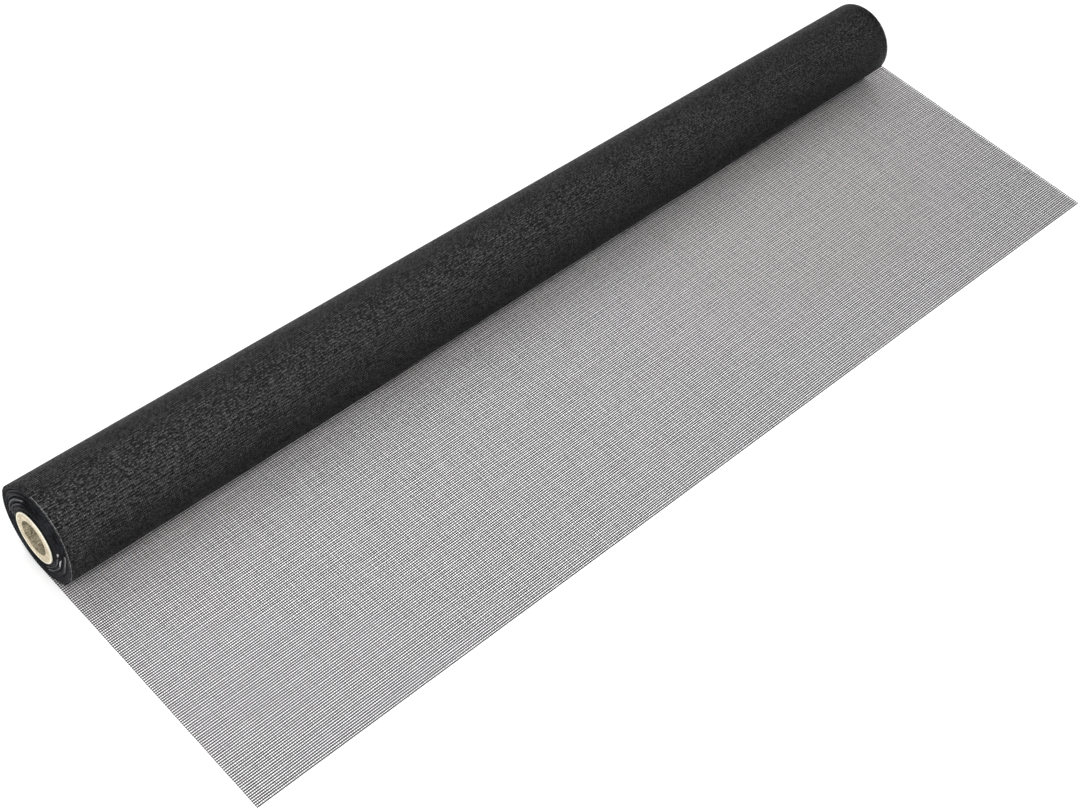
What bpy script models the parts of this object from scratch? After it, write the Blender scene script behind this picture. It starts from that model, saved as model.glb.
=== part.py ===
# Roll of window insect screen.
# A coated glass-yarn mesh is wound on a paper core, and its loose end lies flat on the floor.
# The roll lies along X. Its low-X end is the larger one, because its turns have sprung loose there.
# The loose end comes out from under the roll and runs towards -Y.
# Metres, +Z up. The origin is the middle of the whole part's plan, on the floor.

from math import cos, pi, radians, sin

import bmesh
import bpy
from mathutils import Vector

# Driving dimensions of the roll. "Loose" is its low-X end and "tight" its high-X end.
ROLL_LENGTH = 0.9144
LOOSE_RADIUS = 0.0409
TIGHT_RADIUS = 0.0348
ANGLE_STEP = radians(6)
LENGTH_STATIONS = 6

# The roll lies on a narrow flat, one angle step wide, on the +Y side of the contact line.
FLAT_ANGLE = ANGLE_STEP

# The core is a paper tube. Its turns have sagged round it, so its axis lies below the roll's.
CORE_OUTER_RADIUS = 0.0212
CORE_BORE_RADIUS = 0.0138
CORE_PROUD = 0.0010
CORE_RIM_CHAMFER = 0.0006
CORE_LOOSE_CENTRE = (0.0023, 0.0357)
CORE_TIGHT_CENTRE = (0.0006, 0.0341)
CORE_GAP = 0.0003

# The loose end is a flat sheet. Its high-X edge stands past the roll's end.
SHEET_THICKNESS = 0.0010
SHEET_GAP = 0.0003
SHEET_LENGTH_LOW_X = 0.2455
SHEET_LENGTH_HIGH_X = 0.2550
SHEET_CORNER_SHIFT_LOW_X = 0.0004
SHEET_OVERHANG = 0.0274
SHEET_FRONT_FLARE = 0.0028
SHEET_ROWS = 16

# Where the loose end leaves, the outermost turn stands one step above the turn below it.
TURN_STEP = SHEET_THICKNESS + SHEET_GAP + LOOSE_RADIUS * (1 - cos(FLAT_ANGLE))
TURN_STEP_STARTS = 0.78

# That high-X edge draws in to the roll's end along the web: first on the floor, up to the contact
# line, and then as a lip on the outermost turn, up the roll's +Y side.
DRAW_IN_ON_FLOOR = 0.0200
DRAW_IN_ON_ROLL = 0.0740

# End faces, from the outer surface (share 0) to the bore (share 1).
# depth is how far the turns there stand behind the rim, in metres.
# swing moves a row inwards on the side given by towards, in degrees, as loosened turns lie off centre.
LOOSE_END_TURNS = (
    # share, depth, swing, towards
    (0.060, 0.0002, 0.000, 0),
    (0.080, 0.0026, 0.000, 0),
    (0.270, 0.0030, 0.050, 70),
    (0.300, 0.0008, 0.050, 70),
    (0.460, 0.0010, 0.055, 250),
    (0.490, 0.0036, 0.055, 250),
    (0.660, 0.0032, 0.040, 310),
    (0.690, 0.0012, 0.040, 310),
    (0.960, 0.0010, 0.000, 0),
)
TIGHT_END_TURNS = (
    # share, depth, swing, towards
    (0.070, 0.0002, 0.000, 0),
    (0.095, 0.0014, 0.000, 0),
    (0.420, 0.0012, 0.030, 40),
    (0.450, 0.0024, 0.030, 40),
    (0.700, 0.0020, 0.030, 220),
    (0.730, 0.0008, 0.030, 220),
    (0.960, 0.0008, 0.000, 0),
)

# Finishes: linear colour, roughness
CHARCOAL_ROLL = ((0.014, 0.014, 0.016), 0.62)
CHARCOAL_SHEET = ((0.020, 0.020, 0.022), 0.60)
TAN_PAPER = ((0.58, 0.46, 0.30), 0.85)

# The whole part's plan, from its lowest and highest x and y.
PLAN_LOW_X = -CORE_PROUD
PLAN_HIGH_X = ROLL_LENGTH + SHEET_OVERHANG + SHEET_FRONT_FLARE
PLAN_LOW_Y = -SHEET_LENGTH_HIGH_X
PLAN_HIGH_Y = LOOSE_RADIUS
PLAN_MIDDLE = Vector(((PLAN_LOW_X + PLAN_HIGH_X) / 2, (PLAN_LOW_Y + PLAN_HIGH_Y) / 2, 0))


def clear_scene():
    for old in list(bpy.data.objects):
        bpy.data.objects.remove(old, do_unlink=True)


def mix(low, high, share):
    return low + (high - low) * share


def smooth_share(value):
    """Eases from 0 to 1 as value goes from 0 to 1, and stays there outside."""
    value = min(max(value, 0.0), 1.0)
    return value * value * (3 - 2 * value)


def finish(name, colour, roughness):
    material = bpy.data.materials.new(name)
    material.use_nodes = True
    shader = material.node_tree.nodes["Principled BSDF"]
    shader.inputs["Base Color"].default_value = (*colour, 1)
    shader.inputs["Roughness"].default_value = roughness
    shader.inputs["Metallic"].default_value = 0
    return material


def add_piece(name, mesh_builder, look, smooth):
    """Makes one named object from a bmesh, shifted so that the origin is the plan's middle."""
    bmesh.ops.translate(mesh_builder, verts=mesh_builder.verts, vec=-PLAN_MIDDLE)
    bmesh.ops.recalc_face_normals(mesh_builder, faces=mesh_builder.faces)
    mesh = bpy.data.meshes.new(name)
    mesh_builder.to_mesh(mesh)
    mesh_builder.free()
    mesh.materials.append(finish(name, *look))
    if smooth:
        mesh.shade_smooth()
        mesh.set_sharp_from_angle(angle=radians(35))
    piece = bpy.data.objects.new(name, mesh)
    bpy.context.scene.collection.objects.link(piece)
    return piece


def close_round(mesh_builder, rows):
    """Joins closed profile rows, one for each angle, into a ring-shaped skin."""
    rings = [[mesh_builder.verts.new(point) for point in row] for row in rows]
    count = len(rings[0])
    for ring, following in zip(rings, rings[1:] + rings[:1]):
        for i in range(count):
            j = (i + 1) % count
            mesh_builder.faces.new((ring[i], ring[j], following[j], following[i]))


def turn_direction(turned):
    """Unit y and z of a point on a circle, an angle on from its bottom and up its +Y side."""
    return sin(turned), -cos(turned)


def roll_radius(along):
    return mix(LOOSE_RADIUS, TIGHT_RADIUS, along)


def overhang(distance):
    """How far the web's high-X edge stands past the roll's end, a distance along the web from the
    contact line: positive on the floor, negative up the roll."""
    return SHEET_OVERHANG * smooth_share((distance + DRAW_IN_ON_ROLL) / (DRAW_IN_ON_FLOOR + DRAW_IN_ON_ROLL))


def outer_point(along, turned, x):
    """A point on the wound surface, at a share along the roll, an angle round it and a given x."""
    start_radius = roll_radius(along)
    centre_height = start_radius * cos(FLAT_ANGLE)
    turn_share = turned / (2 * pi)
    step = TURN_STEP * smooth_share((turn_share - TURN_STEP_STARTS) / (1 - TURN_STEP_STARTS))
    y, z = turn_direction(turned)
    radius = start_radius - step
    return Vector((x, radius * y, max(centre_height + radius * z, 0.0)))


def core_point(radius, along, turned, x):
    """A point on a circle about the core's axis."""
    centre_y = mix(CORE_LOOSE_CENTRE[0], CORE_TIGHT_CENTRE[0], along)
    centre_z = mix(CORE_LOOSE_CENTRE[1], CORE_TIGHT_CENTRE[1], along)
    y, z = turn_direction(turned)
    return Vector((x, centre_y + radius * y, centre_z + radius * z))


def end_face_row(turns, along, turned, rim_x, inwards):
    """Points across an end face, from its rim to its bore, following a table of turns."""
    outer = outer_point(along, turned, rim_x)
    bore = core_point(CORE_OUTER_RADIUS + CORE_GAP, along, turned, rim_x)
    row = []
    for share, depth, swing, towards in turns:
        moved = share + swing * cos(turned - radians(towards))
        point = outer.lerp(bore, moved)
        point.x = rim_x + inwards * depth
        row.append(point)
    return row


def roll_angles():
    """The angles round the roll. The first and the last are the two sides of the step."""
    count = round(2 * pi / ANGLE_STEP)
    return [i * ANGLE_STEP for i in range(count + 1)]


def wound_roll():
    """The wound mesh as one solid, with a bore for the core and turns of uneven height at its ends."""
    rows = []
    bore_radius = CORE_OUTER_RADIUS + CORE_GAP
    for turned in roll_angles():
        lip = overhang(-turned * TIGHT_RADIUS)
        row = []
        for station in range(LENGTH_STATIONS):
            along = station / LENGTH_STATIONS
            row.append(outer_point(along, turned, along * ROLL_LENGTH))
        row.append(outer_point(1, turned, ROLL_LENGTH + lip))
        tight_face = end_face_row(TIGHT_END_TURNS, 1, turned, ROLL_LENGTH, -1)
        tight_face[0].x += lip
        row += tight_face
        row.append(core_point(bore_radius, 1, turned, ROLL_LENGTH - TIGHT_END_TURNS[-1][1]))
        row.append(core_point(bore_radius, 0.5, turned, ROLL_LENGTH / 2))
        row.append(core_point(bore_radius, 0, turned, LOOSE_END_TURNS[-1][1]))
        row += reversed(end_face_row(LOOSE_END_TURNS, 0, turned, 0, 1))
        rows.append(row)
    mesh_builder = bmesh.new()
    close_round(mesh_builder, rows)
    # The step's face lies in one plane, and the bore has no step, so its doubled points merge there.
    bmesh.ops.remove_doubles(mesh_builder, verts=mesh_builder.verts, dist=1e-6)
    return add_piece("wound_roll", mesh_builder, CHARCOAL_ROLL, smooth=True)


def core_tube():
    """The paper core: a plain tube that stands a little proud of both ends of the roll."""
    low_x = -CORE_PROUD
    high_x = ROLL_LENGTH + CORE_PROUD
    profile = (
        (CORE_OUTER_RADIUS, low_x + CORE_RIM_CHAMFER),
        (CORE_OUTER_RADIUS, high_x - CORE_RIM_CHAMFER),
        (CORE_OUTER_RADIUS - CORE_RIM_CHAMFER, high_x),
        (CORE_BORE_RADIUS + CORE_RIM_CHAMFER, high_x),
        (CORE_BORE_RADIUS, high_x - CORE_RIM_CHAMFER),
        (CORE_BORE_RADIUS, low_x + CORE_RIM_CHAMFER),
        (CORE_BORE_RADIUS + CORE_RIM_CHAMFER, low_x),
        (CORE_OUTER_RADIUS - CORE_RIM_CHAMFER, low_x),
    )
    rows = []
    for turned in roll_angles()[:-1]:
        rows.append([core_point(radius, x / ROLL_LENGTH, turned, x) for radius, x in profile])
    mesh_builder = bmesh.new()
    close_round(mesh_builder, rows)
    return add_piece("core_tube", mesh_builder, TAN_PAPER, smooth=True)


def sheet_low_x(share):
    """The low-X cut edge, at a share of the way from the roll to the front."""
    return SHEET_CORNER_SHIFT_LOW_X * share


def sheet_high_x(share, distance):
    """The high-X cut edge, which draws in towards the roll's end where the sheet passes under it."""
    return ROLL_LENGTH + overhang(distance) + SHEET_FRONT_FLARE * share


def loose_sheet():
    """The loose end: a thin flat slab whose back edge lies in the roll's step."""
    mesh_builder = bmesh.new()
    rows = []
    for i in range(SHEET_ROWS + 1):
        share = i / SHEET_ROWS
        low_distance = mix(SHEET_GAP, SHEET_LENGTH_LOW_X, share)
        high_distance = mix(SHEET_GAP, SHEET_LENGTH_HIGH_X, share)
        low_x = sheet_low_x(share)
        high_x = sheet_high_x(share, high_distance)
        corners = (
            (low_x, -low_distance, 0),
            (high_x, -high_distance, 0),
            (high_x, -high_distance, SHEET_THICKNESS),
            (low_x, -low_distance, SHEET_THICKNESS),
        )
        rows.append([mesh_builder.verts.new(corner) for corner in corners])
    for row, following in zip(rows, rows[1:]):
        for i in range(4):
            j = (i + 1) % 4
            mesh_builder.faces.new((row[i], row[j], following[j], following[i]))
    mesh_builder.faces.new(rows[0])
    mesh_builder.faces.new(reversed(rows[-1]))
    return add_piece("loose_sheet", mesh_builder, CHARCOAL_SHEET, smooth=False)


clear_scene()
core_tube()
wound_roll()
loose_sheet()
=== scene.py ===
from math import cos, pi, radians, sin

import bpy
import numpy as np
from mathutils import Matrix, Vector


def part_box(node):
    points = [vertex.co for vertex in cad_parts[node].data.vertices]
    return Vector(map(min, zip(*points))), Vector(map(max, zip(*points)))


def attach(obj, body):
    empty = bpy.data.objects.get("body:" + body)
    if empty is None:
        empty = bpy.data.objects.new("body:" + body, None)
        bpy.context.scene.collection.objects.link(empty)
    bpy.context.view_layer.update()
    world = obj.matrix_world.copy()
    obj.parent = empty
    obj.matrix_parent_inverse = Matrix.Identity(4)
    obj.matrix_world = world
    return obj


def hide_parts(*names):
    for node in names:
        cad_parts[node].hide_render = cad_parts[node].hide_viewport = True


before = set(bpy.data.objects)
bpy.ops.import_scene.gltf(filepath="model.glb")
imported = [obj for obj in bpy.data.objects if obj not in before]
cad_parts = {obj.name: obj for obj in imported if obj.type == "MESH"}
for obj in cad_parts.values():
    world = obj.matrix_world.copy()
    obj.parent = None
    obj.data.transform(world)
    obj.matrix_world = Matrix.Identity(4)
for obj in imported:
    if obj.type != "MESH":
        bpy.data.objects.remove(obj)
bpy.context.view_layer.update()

# A roll of charcoal window screen on a paper core, with its loose end lying flat.
# Everything is in metres in the CAD part's frame: the roll lies along X, the floor is z = 0,
# and the loose end runs from under the roll towards -Y. The roll's low-X end is the loosened one and
# its high-X end the tight one. u is the share across the web, from its low-X edge to its high-X edge.
# turned is the angle round the roll from its contact line with the floor, up its +Y side, over its
# top and down its -Y side.

# Sizes that part.py also holds, the step to the nearest 0.1 mm
FLAT_ANGLE = radians(6)
SHEET_GAP = 0.0003
TIGHT_RADIUS = 0.0348
CORE_OUTER_RADIUS = 0.0212
CORE_BORE_RADIUS = 0.0138
CORE_LOOSE_CENTRE = (0.0023, 0.0357)
CORE_TIGHT_CENTRE = (0.0006, 0.0341)
SHEET_LENGTH_LOW_X = 0.2455
SHEET_LENGTH_HIGH_X = 0.2550
SHEET_CORNER_SHIFT_LOW_X = 0.0004
SHEET_OVERHANG = 0.0274
SHEET_FRONT_FLARE = 0.0028
DRAW_IN_ON_FLOOR = 0.0200
DRAW_IN_ON_ROLL = 0.0740
TURN_STEP = 0.0015
TURN_STEP_STARTS = 0.78

# Places read from the CAD part
roll_low, roll_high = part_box("wound_roll")
core_low, core_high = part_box("core_tube")
sheet_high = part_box("loose_sheet")[1]
LOOSE_END_X = roll_low.x
CORE_PROUD = LOOSE_END_X - core_low.x
ROLL_LENGTH = core_high.x - CORE_PROUD - LOOSE_END_X
CONTACT_Y = sheet_high.y + SHEET_GAP
LOOSE_RADIUS = roll_high.z / (1 + cos(FLAT_ANGLE))

# The mesh: thin warp yarns run along the web, and wide, flat weft yarns run across it
WEB_WIDTH = ROLL_LENGTH + SHEET_OVERHANG
WARP_PITCH = 0.00156
WEFT_PITCH = 0.00194
WARP_WIDTH = 0.00038
WEFT_WIDTH = 0.00096
YARN_HEIGHT = 0.00028
WARP_SIDES = 4
LOOSE_WEFT_SIDES = 6
WOUND_WEFT_SIDES = 4
LOOSE_WARP_STATIONS = 21
WEFT_STATIONS = 61

# Each yarn sways to its side by a share of the pitch. Its whole number of waves is at least the first
# number given and less than the second.
WARP_SWAY = 0.12
WARP_SWAY_WAVES = (2, 7)
WEFT_SWAY = 0.05
WEFT_SWAY_WAVES = (5, 15)
RANDOM_SEED = 7

# Edges of the web: warps run on past the last weft at the cut front, wefts run on past the first
# warp at the low-X edge, and a lone warp lies a gap away from the rest along the high-X edge
CUT_FRINGE = 0.0005
SELVEDGE_FRINGE = 0.0006
SELVEDGE_GAP = 0.0026

# How far the loose end's wefts bow along the web, in waves that add up
WEFT_BOW = 0.00016
WEFT_BOW_WAVES = (
    # waves across the web, waves along it, phase, share
    (2.3, 1.1, 0.5, 1.0),
    (5.7, -2.1, 1.9, 0.6),
)

# The wound turns: the outer two are yarns, the second one moved by shares of the pitch, and those
# under them are one body, set back from the roll's ends
OUTER_TURN_PIECES = 3
OUTER_TURN_STEPS = 60
SECOND_TURN_STEPS = 36
SECOND_TURN_DEPTH = 0.0008
SECOND_TURN_WARP_SHIFT = 0.4
SECOND_TURN_WEFT_SHIFT = 0.37
BODY_DEPTH = 0.00115
BODY_RECESS = 0.0060
BODY_CORE_GAP = 0.0002
BODY_STEPS = 120
BODY_STATIONS = 25
TURN_CREASE = radians(50)

# The turns' low-X edge lies back from the end's plane on the side that this points to
RIM_SETBACK = 0.0023
RIM_SETBACK_TOWARDS = radians(205)

# The fine turns seen at the roll's ends, as one band wound from the core out to a depth under the
# surface. The band runs on some way into the roll. Its first turns, next to the core, are dark with
# painted shade.
END_TURNS = 38
END_STEPS_PER_TURN = 72
END_TURNS_UNDER_SURFACE = 0.0012
BAND_THICKNESS = 0.00026
BAND_INTO_ROLL = 0.0068
DARK_TURNS = 5.0

# In turns, the room under the band's first turn, and that together with the room past its last one
CORE_CLEARANCE = 0.6
BOTH_CLEARANCES = 0.9

# How far the band's edge lies back from the end's plane at least, how much more it may, and how fast
# the ripples in between run, in radians a turn
EDGE_BACK = 0.0002
EDGE_BACK_RANGE = 0.0008
EDGE_RIPPLES = (0.62, 1.66, 3.4, 6.2)

# Loosened turns: past which turn a gap opens, its size in turns, and the angle that it opens towards.
# On its far side a gap keeps the least share of its size. It opens over part of a turn.
GAP_LEAST_SHARE = 0.25
GAP_OPENS_OVER = 0.8
LOOSE_END_GAPS = (
    # after_turn, size, towards
    (10.0, 1.8, 130),
    (15.8, 2.2, 120),
    (16.2, 2.0, 290),
    (22.2, 2.4, 140),
    (22.4, 2.8, 305),
    (29.4, 2.2, 285),
    (33.5, 2.0, 110),
)
TIGHT_END_GAPS = (
    # after_turn, size, towards
    (9.0, 1.5, 200),
    (24.0, 2.0, 60),
)

# How far the turns bulge outwards or are pressed inwards at an angle, as a share of the way from the
# core to the surface
LOOSE_END_BULGE = (
    # angle, by
    (40, 0.04),
    (85, 0.02),
    (133, -0.045),
    (172, 0.06),
    (215, 0.10),
    (252, 0.12),
    (268, -0.03),
    (304, -0.17),
    (322, -0.14),
    (345, 0.00),
)
TIGHT_END_BULGE = (
    # angle, by
    (70, 0.02),
    (240, -0.02),
)

# Turns whose edge stands out past the rest
LOOSE_END_PROUD = (
    # turn, spread in turns, by
    (0.0, 2.6, 0.0011),
    (9.5, 0.7, 0.0010),
    (14.6, 0.9, 0.0014),
    (20.8, 0.9, 0.0014),
    (28.7, 0.7, 0.0010),
    (37.4, 0.8, 0.0008),
)
TIGHT_END_PROUD = (
    # turn, spread in turns, by
    (37.6, 1.0, 0.0008),
)

# Stretches of turn edges at the loosened end that carry painted highlights, and brighter ones that carry
# painted glints
HIGHLIGHT_TURNS = (
    # turn, from_angle, to_angle, width
    (9, 84, 122, 0.00030),
    (14, 86, 150, 0.00030),
    (20, 86, 158, 0.00045),
    (21, 96, 138, 0.00030),
    (14, 262, 334, 0.00035),
    (20, 276, 336, 0.00040),
    (28, 250, 290, 0.00030),
)
GLINT_TURNS = (
    # turn, from_angle, to_angle, width
    (14, 249, 256, 0.00055),
    (20, 258, 277, 0.00050),
)
HIGHLIGHT_SIDES = 6
HIGHLIGHT_DEPTH = 0.0015
HIGHLIGHT_RISE = 0.0001

# The stretch of the outermost turn's side edge there that carries a painted highlight, and how far it
# stands up
RIM_HIGHLIGHT_FROM = radians(176)
RIM_HIGHLIGHT_TO = radians(288)
RIM_HIGHLIGHT_WIDTH = 0.0005
RIM_HIGHLIGHT_RISE = 0.00012
RIM_HIGHLIGHT_STATIONS = 41

# The core: a wrap, board plies and a lining, whose cut rims lie a little behind one another. Each ply
# stands apart from the next by a fine groove in the rim.
CORE_WRAP = 0.0013
CORE_BORE_PLY = 0.0005
CORE_PLIES = 7
BOARD_SET_BACK = 0.00015
LINING_SET_BACK = 0.0002
PLY_ROUND = 0.00007
PLY_GROOVE = 0.00022
TUBE_STEPS = 144
TUBE_CREASE = radians(35)

# Finishes. Each is mottled by noise: dark where the noise is under dark_at, and light where it is over
# light_at. base is the colour without the mottle. Colours are linear, and one number is a grey. The
# turns under the surface are drawn lighter than it, as painted light, because the photo shows light
# between its yarns.
COLOURS = (
    # name, base, dark, light, dark_at, light_at
    ("laid_yarn", 0.015, 0.006, 0.030, 0.38, 0.62),
    # the outer turn's yarns are mottled strongly, partly as painted glints
    ("wound_warp", 0.037, 0.003, 0.037, 0.46, 0.61),
    ("wound_weft", 0.037, 0.003, 0.037, 0.46, 0.61),
    ("second_warp", 0.180, 0.012, 0.180, 0.46, 0.61),
    ("second_weft", 0.180, 0.012, 0.180, 0.46, 0.61),
    ("inner_turns", 0.10, 0.05, 0.31, 0.42, 0.60),
    ("shadowed_turns", 0.006, 0.002, 0.012, 0.38, 0.62),
    ("turn_edges", (0.007, 0.0075, 0.010), (0.003, 0.003, 0.004), (0.020, 0.0205, 0.026), 0.38, 0.62),
    # painted highlights on the loosened end's turn edges and rim, and brighter painted glints
    ("painted_highlight_edges", 0.30, 0.05, 0.30, 0.38, 0.62),
    ("painted_rim_highlight", 0.22, 0.01, 0.22, 0.38, 0.62),
    ("painted_glint_edges", 0.75, 0.35, 0.75, 0.38, 0.62),
    ("core_wrap_paper", (0.81, 0.78, 0.66), (0.70, 0.67, 0.55), (0.81, 0.78, 0.66), 0.38, 0.62),
    ("core_board", (0.71, 0.625, 0.475), (0.40, 0.335, 0.225), (0.71, 0.625, 0.475), 0.38, 0.62),
    # the lining is coloured darker than the board, partly as painted shade inside the bore
    ("core_bore_paper", (0.40, 0.35, 0.245), (0.10, 0.082, 0.048), (0.40, 0.35, 0.245), 0.38, 0.62),
)

# fine and coarse are the scales of the two noises in the mottle, and fine_share is the fine one's
# share of it. stretch multiplies the fine one's scale along X, Y and Z. That noise also bumps the
# surface, with the strength bump and over bump_depth.
SURFACES = (
    # name, roughness, specular, fine, coarse, stretch, fine_share, bump, bump_depth
    ("laid_yarn", 0.45, 0.20, 500, 60, (1.0, 1.0, 1.0), 0.50, 0.6, 0.0002),
    ("wound_warp", 0.45, 0.10, 640, 60, (1.0, 0.7, 0.7), 0.92, 1.0, 0.0013),
    ("wound_weft", 0.45, 0.10, 640, 60, (0.7, 1.0, 1.0), 0.92, 1.0, 0.0013),
    ("second_warp", 0.45, 0.04, 640, 60, (1.0, 0.7, 0.7), 0.92, 1.0, 0.0013),
    ("second_weft", 0.45, 0.04, 640, 60, (0.7, 1.0, 1.0), 0.92, 1.0, 0.0013),
    ("inner_turns", 0.60, 0.05, 700, 80, (1.0, 1.0, 1.0), 0.90, 0.6, 0.0004),
    ("shadowed_turns", 0.60, 0.10, 500, 80, (1.0, 1.0, 1.0), 0.50, 0.6, 0.0004),
    ("turn_edges", 0.50, 0.10, 600, 120, (1.0, 1.0, 1.0), 0.50, 0.5, 0.0002),
    ("painted_highlight_edges", 0.45, 0.40, 500, 90, (1.0, 1.0, 1.0), 0.50, 0.4, 0.0002),
    ("painted_rim_highlight", 0.45, 0.40, 500, 90, (1.0, 1.0, 1.0), 0.50, 0.4, 0.0002),
    ("painted_glint_edges", 0.45, 0.40, 500, 90, (1.0, 1.0, 1.0), 0.50, 0.4, 0.0002),
    ("core_wrap_paper", 0.85, 0.30, 700, 160, (1.0, 1.0, 1.0), 0.50, 0.2, 0.0002),
    ("core_board", 0.85, 0.30, 700, 160, (1.0, 1.0, 1.0), 0.50, 0.5, 0.0002),
    ("core_bore_paper", 0.85, 0.30, 700, 160, (1.0, 1.0, 1.0), 0.50, 0.6, 0.0002),
)

# The photograph's camera
CAMERA_PLACE = (-0.8072, -0.5681, 1.1135)
CAMERA_HEADING = radians(52.212)
CAMERA_DIP = radians(50.654)
CAMERA_ROLL = radians(10.793)
CAMERA_LENS = 60.26
SENSOR_WIDTH = 36.0

# The pale floor and the studio light, with sizes in metres and power in watts
FLOOR_SIZE = 12
FLOOR_SHADE = 0.80
FLOOR_ROUGHNESS = 0.9
FLOOR_SPECULAR = 0.2
SKY_STRENGTH = 0.20
LAMPS = (
    # name, place, size, power
    ("overhead", (0.70, 1.05, 2.10), 2.4, 72),
    ("front", (-0.75, -0.85, 1.95), 0.9, 36),
    ("end_fill", (-1.90, -0.50, 1.5), 1.6, 30),
)

generator = np.random.default_rng(RANDOM_SEED)


def mix(low, high, share):
    return low + (high - low) * share


def smooth_share(value):
    """Eases from 0 to 1 as value goes from 0 to 1, and stays there outside."""
    value = np.clip(value, 0, 1)
    return value * value * (3 - 2 * value)


def round_angles(steps):
    """Equal angles once round, without the one that closes the circle."""
    return np.linspace(0, 2 * pi, steps + 1)[:-1]


# Shape of the web

def overhang(distance):
    """How far the high-X edge stands past the roll, a distance along the web from the contact line:
    positive on the floor, negative up the roll."""
    drawn_in = (distance + DRAW_IN_ON_ROLL) / (DRAW_IN_ON_FLOOR + DRAW_IN_ON_ROLL)
    return SHEET_OVERHANG * smooth_share(drawn_in)


def web_x(u, distance, front_share):
    """World x at share u across the web, a distance along it from the contact line."""
    low = SHEET_CORNER_SHIFT_LOW_X * front_share
    high = ROLL_LENGTH + overhang(distance) + SHEET_FRONT_FLARE * front_share
    return LOOSE_END_X + mix(low, high, u)


def weft_bow(u, front_share):
    """How far the weft strays along the web. It runs straight again at the cut front."""
    bow = 0 * u
    for across, along, phase, share in WEFT_BOW_WAVES:
        bow = bow + share * np.sin(2 * pi * (across * u + along * front_share) + phase)
    return WEFT_BOW * bow * (1 - front_share)


def sheet_point(u, front_share, height):
    """A point of the loose end, at a share of the way from the contact line to its cut front."""
    distance = front_share * mix(SHEET_LENGTH_LOW_X, SHEET_LENGTH_HIGH_X, u)
    x = web_x(u, distance, front_share)
    y = CONTACT_Y - distance - weft_bow(u, front_share)
    return np.stack([x, y, height + 0 * x], -1)


def roll_radius(u):
    return mix(LOOSE_RADIUS, TIGHT_RADIUS, u)


def rim_setback(turned):
    """How far the low-X edge of a turn lies back from the end's plane."""
    return RIM_SETBACK * np.clip(np.cos(turned - RIM_SETBACK_TOWARDS), 0, 1) ** 2


def roll_point(u, turned, depth):
    """A point on the roll, an angle round it and a depth below its surface."""
    stepped = (turned / (2 * pi) - TURN_STEP_STARTS) / (1 - TURN_STEP_STARTS)
    centre_height = roll_radius(u) * cos(FLAT_ANGLE)
    radius = roll_radius(u) - TURN_STEP * smooth_share(stepped) - depth
    x = web_x(u, -turned * TIGHT_RADIUS, 0) + rim_setback(turned) * (1 - u)
    z = centre_height - radius * np.cos(turned)
    return np.stack([x, CONTACT_Y + radius * np.sin(turned), np.maximum(z, depth)], -1)


def roll_normal(turned):
    """The outward direction on the roll's surface."""
    return np.stack([0 * turned, np.sin(turned), -np.cos(turned)], -1)


def core_point(radius, x, turned):
    """A point on a circle about the core's axis."""
    share = (x - LOOSE_END_X) / ROLL_LENGTH
    y = CONTACT_Y + mix(CORE_LOOSE_CENTRE[0], CORE_TIGHT_CENTRE[0], share)
    z = mix(CORE_LOOSE_CENTRE[1], CORE_TIGHT_CENTRE[1], share)
    return np.stack([x + 0 * turned, y + radius * np.sin(turned), z - radius * np.cos(turned)], -1)


def warp_places():
    """Shares across the web of its warp yarns, with the selvedge's lone yarn at the high-X edge."""
    low = SELVEDGE_FRINGE / WEB_WIDTH
    high = 1 - SELVEDGE_GAP / WEB_WIDTH
    count = round((high - low) * WEB_WIDTH / WARP_PITCH) + 1
    return np.append(np.linspace(low, high, count), 1.0)


def sway(count, share, by, fewest_waves, below_waves):
    """How far each of many yarns strays to its side along its length, in whole waves."""
    waves = generator.integers(fewest_waves, below_waves, (count, 1))
    phase = generator.uniform(0, 1, (count, 1))
    return by * np.sin(2 * pi * (waves * share + phase))


def swayed_warps(warp_u, share):
    """Where each warp yarn lies across the web, at shares of its length."""
    stray = sway(len(warp_u), share, WARP_SWAY, *WARP_SWAY_WAVES)
    return np.clip(warp_u[:, None] + stray * WARP_PITCH / WEB_WIDTH, 0, 1)


# Meshes made from arrays of points

def add_mesh(name, points, faces, material, crease=None):
    """One object from an array of points and an array of four-cornered faces."""
    mesh = bpy.data.meshes.new(name)
    mesh.vertices.add(len(points))
    mesh.vertices.foreach_set("co", np.ascontiguousarray(points, np.float32).ravel())
    mesh.loops.add(faces.size)
    mesh.loops.foreach_set("vertex_index", np.ascontiguousarray(faces, np.int32).ravel())
    mesh.polygons.add(len(faces))
    starts = np.arange(0, faces.size, faces.shape[1], dtype=np.int32)
    mesh.polygons.foreach_set("loop_start", starts)
    mesh.update(calc_edges=True)
    mesh.polygons.foreach_set("use_smooth", np.full(len(faces), True))
    mesh.validate()
    if crease is not None:
        mesh.set_sharp_from_angle(angle=crease)
    mesh.materials.append(material)
    piece = bpy.data.objects.new(name, mesh)
    bpy.context.scene.collection.objects.link(piece)
    return piece


def yarn_section(sides, width, height):
    """Corner offsets of a yarn's section, as (sideways, upwards) pairs, flat side down."""
    around = (np.arange(sides) + 0.5) / sides * 2 * pi - pi / 2
    corners = np.stack([np.cos(around), np.sin(around)], -1)
    corners /= np.abs(corners).max(axis=0)
    return corners * (width / 2, height / 2)


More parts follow.
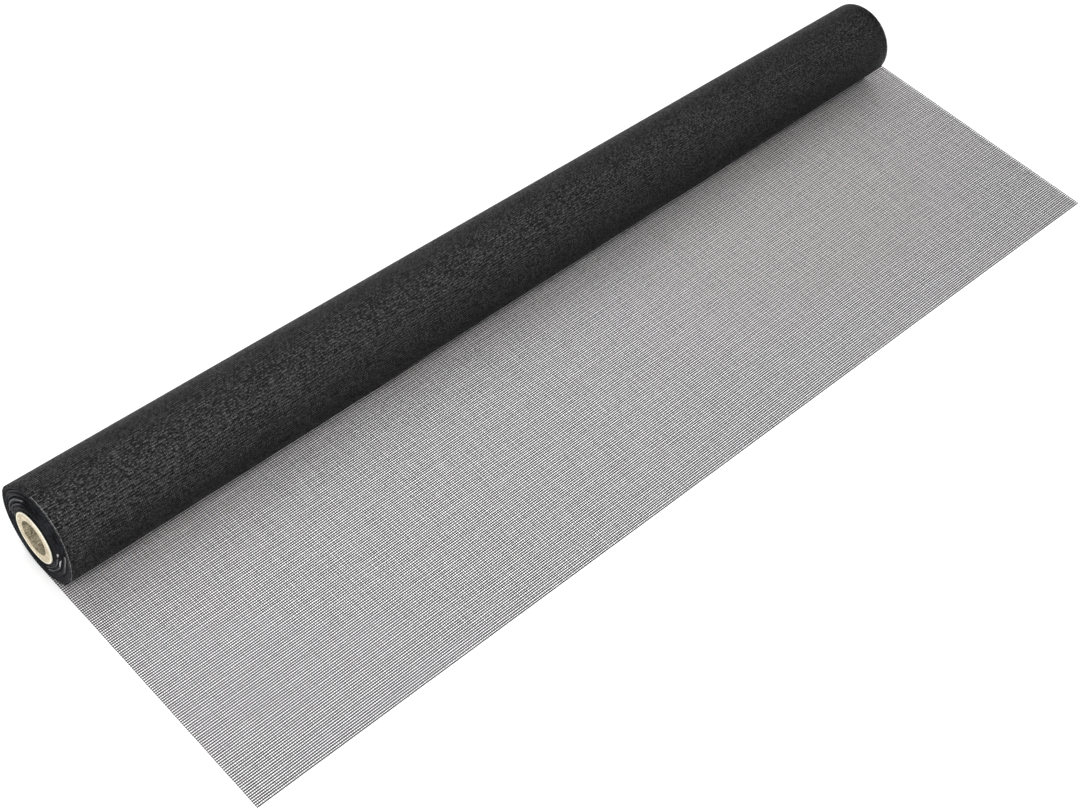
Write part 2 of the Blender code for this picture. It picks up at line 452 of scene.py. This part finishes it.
def yarns(name, lines, ups, section, material):
    """Closed yarns along many lines. lines and ups have the shape (yarn, station, xyz), and the
    section has an even number of corners."""
    along = np.gradient(lines, axis=1)
    along /= np.linalg.norm(along, axis=2, keepdims=True)
    side = np.cross(along, ups)
    side /= np.linalg.norm(side, axis=2, keepdims=True)
    points = (
        lines[:, :, None]
        + side[:, :, None] * section[None, None, :, :1]
        + ups[:, :, None] * section[None, None, :, 1:]
    )
    count, stations, sides = points.shape[:3]
    index = np.arange(count * stations * sides).reshape(count, stations, sides)
    turned = np.roll(index, -1, axis=2)
    walls = np.stack([index[:, :-1], turned[:, :-1], turned[:, 1:], index[:, 1:]], -1)
    first, last = index[:, 0], index[:, -1]
    caps = []
    for k in range(sides // 2 - 1):
        a, b, c, d = k, k + 1, sides - 2 - k, sides - 1 - k
        caps.append(np.stack([first[:, d], first[:, c], first[:, b], first[:, a]], -1))
        caps.append(np.stack([last[:, a], last[:, b], last[:, c], last[:, d]], -1))
    faces = np.concatenate([walls.reshape(-1, 4), *caps])
    return add_mesh(name, points.reshape(-1, 3), faces, material)


def ring_skin(rows):
    """Points and faces of a closed skin from an array (angle, profile, xyz) that closes both ways."""
    around, along = rows.shape[:2]
    index = np.arange(around * along).reshape(around, along)
    right = np.roll(index, -1, axis=1)
    faces = np.stack([index, right, np.roll(right, -1, axis=0), np.roll(index, -1, axis=0)], -1)
    return rows.reshape(-1, 3), faces.reshape(-1, 4)


def join(pieces):
    """Joins meshes into the first of them."""
    bpy.ops.object.select_all(action="DESELECT")
    for piece in pieces:
        piece.select_set(True)
    bpy.context.view_layer.objects.active = pieces[0]
    bpy.ops.object.join()
    return pieces[0]


# Materials

def rgb(colour):
    """The three channels of a table's colour, which may be one number for a grey."""
    return tuple(np.broadcast_to(colour, 3).tolist())


def new_material(name, colour, roughness, specular):
    """A material and its shader."""
    material = bpy.data.materials.new(name)
    material.use_nodes = True
    shader = material.node_tree.nodes["Principled BSDF"]
    shader.inputs["Base Color"].default_value = (*rgb(colour), 1)
    shader.inputs["Roughness"].default_value = roughness
    shader.inputs["Specular IOR Level"].default_value = specular
    return material, shader


def add_node(tree, kind, **values):
    """A shader node with the given socket values and settings."""
    node = tree.nodes.new(kind)
    for key, value in values.items():
        if key in node.inputs:
            node.inputs[key].default_value = value
        else:
            setattr(node, key, value)
    return node


def two_noises(tree, fine, coarse, stretch, fine_share):
    """The mean of a fine and a coarse noise, about 0.5, and the fine one by itself."""
    place = add_node(tree, "ShaderNodeTexCoord")
    stretched = add_node(tree, "ShaderNodeMapping", Scale=stretch)
    small = add_node(tree, "ShaderNodeTexNoise", Scale=fine, Detail=1.0, Roughness=0.5)
    large = add_node(tree, "ShaderNodeTexNoise", Scale=coarse, Detail=3.0, Roughness=0.6)
    mean = add_node(tree, "ShaderNodeMix", Factor=1 - fine_share)
    tree.links.new(place.outputs["Object"], stretched.inputs["Vector"])
    tree.links.new(stretched.outputs["Vector"], small.inputs["Vector"])
    tree.links.new(place.outputs["Object"], large.inputs["Vector"])
    tree.links.new(small.outputs["Fac"], mean.inputs["A"])
    tree.links.new(large.outputs["Fac"], mean.inputs["B"])
    return mean.outputs["Result"], small.outputs["Fac"]


def coloured_by(tree, shader, source, dark, light, dark_at, light_at):
    """A colour that goes from one shade to the other as the source rises."""
    ramp = add_node(tree, "ShaderNodeValToRGB")
    ramp.color_ramp.elements[0].position = dark_at
    ramp.color_ramp.elements[0].color = (*rgb(dark), 1)
    ramp.color_ramp.elements[1].position = light_at
    ramp.color_ramp.elements[1].color = (*rgb(light), 1)
    tree.links.new(source, ramp.inputs["Fac"])
    tree.links.new(ramp.outputs["Color"], shader.inputs["Base Color"])


def bumped_by(tree, shader, source, strength, distance):
    """A surface raised by the source."""
    bump = add_node(tree, "ShaderNodeBump", Strength=strength, Distance=distance)
    tree.links.new(source, bump.inputs["Height"])
    tree.links.new(bump.outputs["Normal"], shader.inputs["Normal"])


def mottled_materials():
    """The finishes of both tables, by name."""
    surfaces = {row[0]: row[1:] for row in SURFACES}
    finishes = {}
    for name, base, dark, light, dark_at, light_at in COLOURS:
        roughness, specular, fine, coarse, stretch, fine_share, bump, bump_depth = surfaces[name]
        material, shader = new_material(name, base, roughness, specular)
        tree = material.node_tree
        mean, small = two_noises(tree, fine, coarse, stretch, fine_share)
        coloured_by(tree, shader, mean, dark, light, dark_at, light_at)
        bumped_by(tree, shader, small, bump, bump_depth)
        finishes[name] = material
    return finishes


# Pieces of the mesh

def loose_mesh(warp_u, material):
    """The loose end, as warp and weft yarns that lie on the floor."""
    shares = np.linspace(0, 1, LOOSE_WARP_STATIONS)[None, :]
    u = swayed_warps(warp_u, shares)
    warps = sheet_point(u, shares + 0 * u, YARN_HEIGHT / 2)
    count = round(SHEET_LENGTH_HIGH_X / WEFT_PITCH)
    last_share = 1 - CUT_FRINGE / SHEET_LENGTH_HIGH_X
    across = np.linspace(0, 1, WEFT_STATIONS)[None, :]
    stray = sway(count, across, WEFT_SWAY, *WEFT_SWAY_WAVES) * WEFT_PITCH / SHEET_LENGTH_HIGH_X
    weft_shares = np.clip(np.linspace(0, last_share, count)[:, None] + stray, 0, last_share)
    wefts = sheet_point(across + 0 * weft_shares, weft_shares, YARN_HEIGHT / 2)
    up = np.array([0.0, 0.0, 1.0])
    warp_section = yarn_section(WARP_SIDES, WARP_WIDTH, YARN_HEIGHT)
    weft_section = yarn_section(LOOSE_WEFT_SIDES, WEFT_WIDTH, YARN_HEIGHT)
    warp_piece = yarns("loose_mesh", warps, np.broadcast_to(up, warps.shape), warp_section, material)
    weft_piece = yarns("loose_wefts", wefts, np.broadcast_to(up, wefts.shape), weft_section, material)
    return join([warp_piece, weft_piece])


def turn_hoops(name, warp_u, depth, steps, material):
    """The warp yarns of one whole turn."""
    turned = np.linspace(0, 2 * pi, steps + 1)[None, :]
    u = swayed_warps(warp_u, turned / (2 * pi))
    angle = turned + 0 * u
    section = yarn_section(WARP_SIDES, WARP_WIDTH, YARN_HEIGHT)
    return yarns(name, roll_point(u, angle, depth), roll_normal(angle), section, material)


def turn_wefts(name, depth, material, shift=0.0):
    """The weft yarns of one whole turn, moved round it by a share of the pitch."""
    count = round(2 * pi * roll_radius(0.5) / WEFT_PITCH)
    across = np.linspace(0, 1, WEFT_STATIONS)[None, :]
    stray = sway(count, across, WEFT_SWAY, *WEFT_SWAY_WAVES)
    place = (np.arange(count) + 0.5 + shift)[:, None] + stray
    angle = place / count * 2 * pi
    across = across + 0 * angle
    section = yarn_section(WOUND_WEFT_SIDES, WEFT_WIDTH, YARN_HEIGHT)
    return yarns(name, roll_point(across, angle, depth), roll_normal(angle), section, material)


def outer_turns(warp_u, finishes):
    """The outermost turn and the one under it."""
    pieces = []
    depth = YARN_HEIGHT / 2
    for k, group in enumerate(np.array_split(warp_u, OUTER_TURN_PIECES)):
        name = f"outer_turn_{k + 1}"
        pieces.append(turn_hoops(name, group, depth, OUTER_TURN_STEPS, finishes["wound_warp"]))
    pieces.append(turn_wefts("outer_turn_wefts", depth, finishes["wound_weft"]))
    # The second turn is the same yarn coloured lighter, as painted light between the outer yarns.
    depth = SECOND_TURN_DEPTH
    shift = SECOND_TURN_WEFT_SHIFT
    moved = np.clip(warp_u + SECOND_TURN_WARP_SHIFT * WARP_PITCH / WEB_WIDTH, 0, 1)
    pieces.append(turn_hoops("second_turn", moved, depth, SECOND_TURN_STEPS, finishes["second_warp"]))
    pieces.append(turn_wefts("second_turn_wefts", depth, finishes["second_weft"], shift))
    return pieces


def painted_rim_highlight(warp_u, material):
    """The stretch of the outermost turn's side edge at the loosened end that carries a painted highlight.
    """
    angle = np.linspace(RIM_HIGHLIGHT_FROM, RIM_HIGHLIGHT_TO, RIM_HIGHLIGHT_STATIONS)[None, :]
    rim = roll_point(warp_u[0] + 0 * angle, angle, YARN_HEIGHT / 2 - RIM_HIGHLIGHT_RISE)
    section = yarn_section(HIGHLIGHT_SIDES, RIM_HIGHLIGHT_WIDTH, YARN_HEIGHT)
    return yarns("painted_rim_highlight", rim, roll_normal(angle), section, material)


def inner_turns(material, shadowed):
    """The turns under the outer two as one body, set back from both ends and painted in shade there."""
    turned = round_angles(BODY_STEPS)
    rows = []
    low = BODY_RECESS / ROLL_LENGTH
    for u in np.linspace(low, 1 - low, BODY_STATIONS):
        point = roll_point(u + 0 * turned, turned, BODY_DEPTH)
        point[:, 0] = LOOSE_END_X + u * ROLL_LENGTH
        rows.append(point)
    bore = CORE_OUTER_RADIUS + BODY_CORE_GAP
    rows.append(core_point(bore, rows[-1][0, 0], turned))
    rows.append(core_point(bore, rows[0][0, 0], turned))
    points, faces = ring_skin(np.stack(rows, 1))
    piece = add_mesh("inner_turns", points, faces, material, crease=TURN_CREASE)
    piece.data.materials.append(shadowed)
    # In each row the faces of the surface come first, coloured lighter as painted light, then those of
    # the tight end, the bore and the loose end, which are painted in shade.
    past_surface = np.arange(len(rows)) >= BODY_STATIONS - 1
    slots = np.tile(past_surface, len(turned))
    piece.data.polygons.foreach_set("material_index", slots.astype(np.int32))
    return piece


def eased_round(table, angle):
    """A value from rows of an angle in degrees and a value, eased from each to the next all round."""
    places, values = np.array(table).T
    place = np.degrees(angle) % 360
    after = np.searchsorted(places, place) % len(table)
    share = (place - places[after - 1]) % 360 / ((places[after] - places[after - 1]) % 360)
    return mix(values[after - 1], values[after], smooth_share(share))


def wound_end(u, gaps, bulges, proud_turns):
    """The line of the wound web's edge at one end, outwards from the core.

    Gives each station's turn number, its point, the outward direction there and how far the edge lies
    back from the end's plane.
    """
    turn = np.arange(END_TURNS * END_STEPS_PER_TURN + 1) / END_STEPS_PER_TURN
    angle = turn * 2 * pi

    def loosened(place):
        """How far out a turn lies, in turns, with the gaps under it added."""
        counted = place
        for after, size, towards in gaps:
            opened = mix(GAP_LEAST_SHARE, 1, np.clip(np.cos(angle - radians(towards)), 0, 1) ** 2)
            counted = counted + size * opened * smooth_share((place - after) / GAP_OPENS_OVER)
        return counted

    last_turn = np.full_like(turn, END_TURNS)
    share = (loosened(turn) + CORE_CLEARANCE) / (loosened(last_turn) + BOTH_CLEARANCES)
    # A bulge is full halfway out, and fades to nothing at the core and at the surface.
    share = share + 4 * share * (1 - share) * eased_round(bulges, angle)
    outer = roll_point(u + 0 * angle, np.mod(angle, 2 * pi), END_TURNS_UNDER_SURFACE)
    bore = core_point(CORE_OUTER_RADIUS, LOOSE_END_X + u * ROLL_LENGTH, angle)
    line = bore + (outer - bore) * share[:, None]
    line[:, 0] = bore[:, 0]
    away = outer - bore
    away[:, 0] = 0
    away /= np.linalg.norm(away, axis=1, keepdims=True)
    ripple = 0 * turn
    for rate in EDGE_RIPPLES:
        ripple += np.sin(turn * rate + generator.uniform(0, 2 * pi)) / len(EDGE_RIPPLES)
    back = EDGE_BACK + EDGE_BACK_RANGE * (0.5 + 0.5 * ripple) + rim_setback(angle) * share * (1 - u)
    for number, spread, by in proud_turns:
        back = back - by * np.exp(-(((turn - number) / spread) ** 2))
    return turn, line, away, back


def end_turns(name, wound, at_loose_end, usual, dark):
    """The fine turns of one end as one long band wound from the core outwards."""
    turn, line, away, back = wound
    inwards = 1 if at_loose_end else -1
    corners = []
    for side, depth in ((-1, back), (1, back), (1, BAND_INTO_ROLL), (-1, BAND_INTO_ROLL)):
        point = line + away * (side * BAND_THICKNESS / 2)
        point[:, 0] += inwards * depth
        corners.append(point)
    lines = np.stack(corners, 1)
    index = np.arange(lines.shape[0] * 4).reshape(-1, 4)
    right = np.roll(index, -1, axis=1)
    walls = np.stack([index[:-1], right[:-1], right[1:], index[1:]], -1).reshape(-1, 4)
    if not at_loose_end:
        walls = walls[:, ::-1]
    caps = np.stack([index[0][::-1], index[-1]])
    faces = np.concatenate([walls, caps])
    piece = add_mesh(name, lines.reshape(-1, 3), faces, usual, crease=TURN_CREASE)
    piece.data.materials.append(dark)
    # The band's first turns and its start at the core are painted in shade.
    slots = np.concatenate([np.repeat(turn[:-1] < DARK_TURNS, 4), [True, False]])
    piece.data.polygons.foreach_set("material_index", slots.astype(np.int32))
    return piece


def painted_edge_highlights(name, wound, table, material):
    """Painted highlights laid over stretches of the turns' edges at the loosened end, as fine lines."""
    line, away, back = wound[1:]
    pieces = []
    for number, from_angle, to_angle, width in table:
        first = round((number + from_angle / 360) * END_STEPS_PER_TURN)
        last = round((number + to_angle / 360) * END_STEPS_PER_TURN) + 1
        middle = line[first:last].copy()
        middle[:, 0] += back[first:last] - HIGHLIGHT_RISE + HIGHLIGHT_DEPTH / 2
        section = yarn_section(HIGHLIGHT_SIDES, HIGHLIGHT_DEPTH, width)
        pieces.append(yarns(name, middle[None], away[None, first:last], section, material))
    return join(pieces)


# The core

def tube(name, inner, outer, material, plies, set_back):
    """A tube of nested plies with a fine groove between each two at its cut ends."""
    bounds = np.linspace(inner, outer, plies + 1)
    rim = [(inner, PLY_GROOVE)]
    for low, high in zip(bounds[:-1], bounds[1:]):
        rim.append((low + PLY_ROUND, 0))
        rim.append((high - PLY_ROUND, 0))
        rim.append((high, PLY_GROOVE))
    low_x = core_low.x + set_back
    high_x = core_high.x - set_back
    profile = [(radius, low_x + back) for radius, back in rim]
    profile += [(radius, high_x - back) for radius, back in reversed(rim)]
    turned = round_angles(TUBE_STEPS)
    rows = [core_point(radius, x, turned) for radius, x in profile]
    points, faces = ring_skin(np.stack(rows, 1))
    return add_mesh(name, points, faces, material, crease=TUBE_CREASE)


def paper_core(finishes):
    """The core: a smooth outer wrap, the board's plies, and the inner ply that the bore shows."""
    wrap = finishes["core_wrap_paper"]
    board = finishes["core_board"]
    # The lining's darker colour is partly painted shade inside the bore.
    lining = finishes["core_bore_paper"]
    wrap_inside = CORE_OUTER_RADIUS - CORE_WRAP
    lining_outside = CORE_BORE_RADIUS + CORE_BORE_PLY
    return [
        tube("core_wrap", wrap_inside, CORE_OUTER_RADIUS, wrap, plies=1, set_back=0.0),
        tube("core_plies", lining_outside, wrap_inside, board, plies=CORE_PLIES, set_back=BOARD_SET_BACK),
        tube("core_lining", CORE_BORE_RADIUS, lining_outside, lining, plies=1, set_back=LINING_SET_BACK),
    ]


# Floor, light and camera

def studio():
    """A plain pale floor, an even sky and soft lamps that face the middle of the part."""
    bpy.ops.mesh.primitive_plane_add(size=FLOOR_SIZE, location=(0, 0, 0))
    floor = bpy.context.object
    floor.name = "studio_floor"
    material = new_material("pale_floor", FLOOR_SHADE, FLOOR_ROUGHNESS, FLOOR_SPECULAR)[0]
    floor.data.materials.append(material)
    world = bpy.data.worlds.new("studio")
    world.use_nodes = True
    world.node_tree.nodes["Background"].inputs["Color"].default_value = (1, 1, 1, 1)
    world.node_tree.nodes["Background"].inputs["Strength"].default_value = SKY_STRENGTH
    bpy.context.scene.world = world
    for name, place, size, power in LAMPS:
        light = bpy.data.lights.new(name, "AREA")
        light.size = size
        light.energy = power
        lamp = bpy.data.objects.new(name, light)
        lamp.location = place
        aim = -Vector(place)
        lamp.rotation_euler = aim.to_track_quat("-Z", "Y").to_euler()
        bpy.context.scene.collection.objects.link(lamp)
    bpy.context.scene.view_settings.view_transform = "Standard"


def camera():
    """The photograph's view."""
    data = bpy.data.cameras.new("photo_camera")
    data.lens = CAMERA_LENS
    data.sensor_width = SENSOR_WIDTH
    eye = bpy.data.objects.new("photo_camera", data)
    bpy.context.scene.collection.objects.link(eye)
    ahead_x = sin(CAMERA_HEADING) * cos(CAMERA_DIP)
    ahead_y = cos(CAMERA_HEADING) * cos(CAMERA_DIP)
    ahead = Vector((ahead_x, ahead_y, -sin(CAMERA_DIP)))
    level = ahead.to_track_quat("-Z", "Y").to_matrix().to_4x4()
    eye.matrix_world = Matrix.Translation(CAMERA_PLACE) @ level @ Matrix.Rotation(CAMERA_ROLL, 4, "Z")
    bpy.context.scene.camera = eye


camera()
studio()
finishes = mottled_materials()
edges = finishes["turn_edges"]
shadowed = finishes["shadowed_turns"]
warp_shares = warp_places()

sheet_piece = loose_mesh(warp_shares, finishes["laid_yarn"])
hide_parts("loose_sheet")
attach(sheet_piece, "root")

roll_pieces = outer_turns(warp_shares, finishes)
roll_pieces.append(inner_turns(finishes["inner_turns"], shadowed))
loose_end = wound_end(0.0, LOOSE_END_GAPS, LOOSE_END_BULGE, LOOSE_END_PROUD)
tight_end = wound_end(1.0, TIGHT_END_GAPS, TIGHT_END_BULGE, TIGHT_END_PROUD)
roll_pieces.append(end_turns("loose_end_turns", loose_end, True, edges, shadowed))
roll_pieces.append(end_turns("tight_end_turns", tight_end, False, edges, shadowed))
# Painted highlights on the outermost turn's rim and on turn edges of the loosened end, and painted glints
roll_pieces.append(painted_rim_highlight(warp_shares, finishes["painted_rim_highlight"]))
roll_pieces.append(painted_edge_highlights("painted_edge_highlights", loose_end, HIGHLIGHT_TURNS, finishes["painted_highlight_edges"]))
roll_pieces.append(painted_edge_highlights("painted_edge_glints", loose_end, GLINT_TURNS, finishes["painted_glint_edges"]))
for piece in roll_pieces:
    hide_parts("wound_roll")
    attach(piece, "root")

for piece in paper_core(finishes):
    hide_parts("core_tube")
    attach(piece, "root")
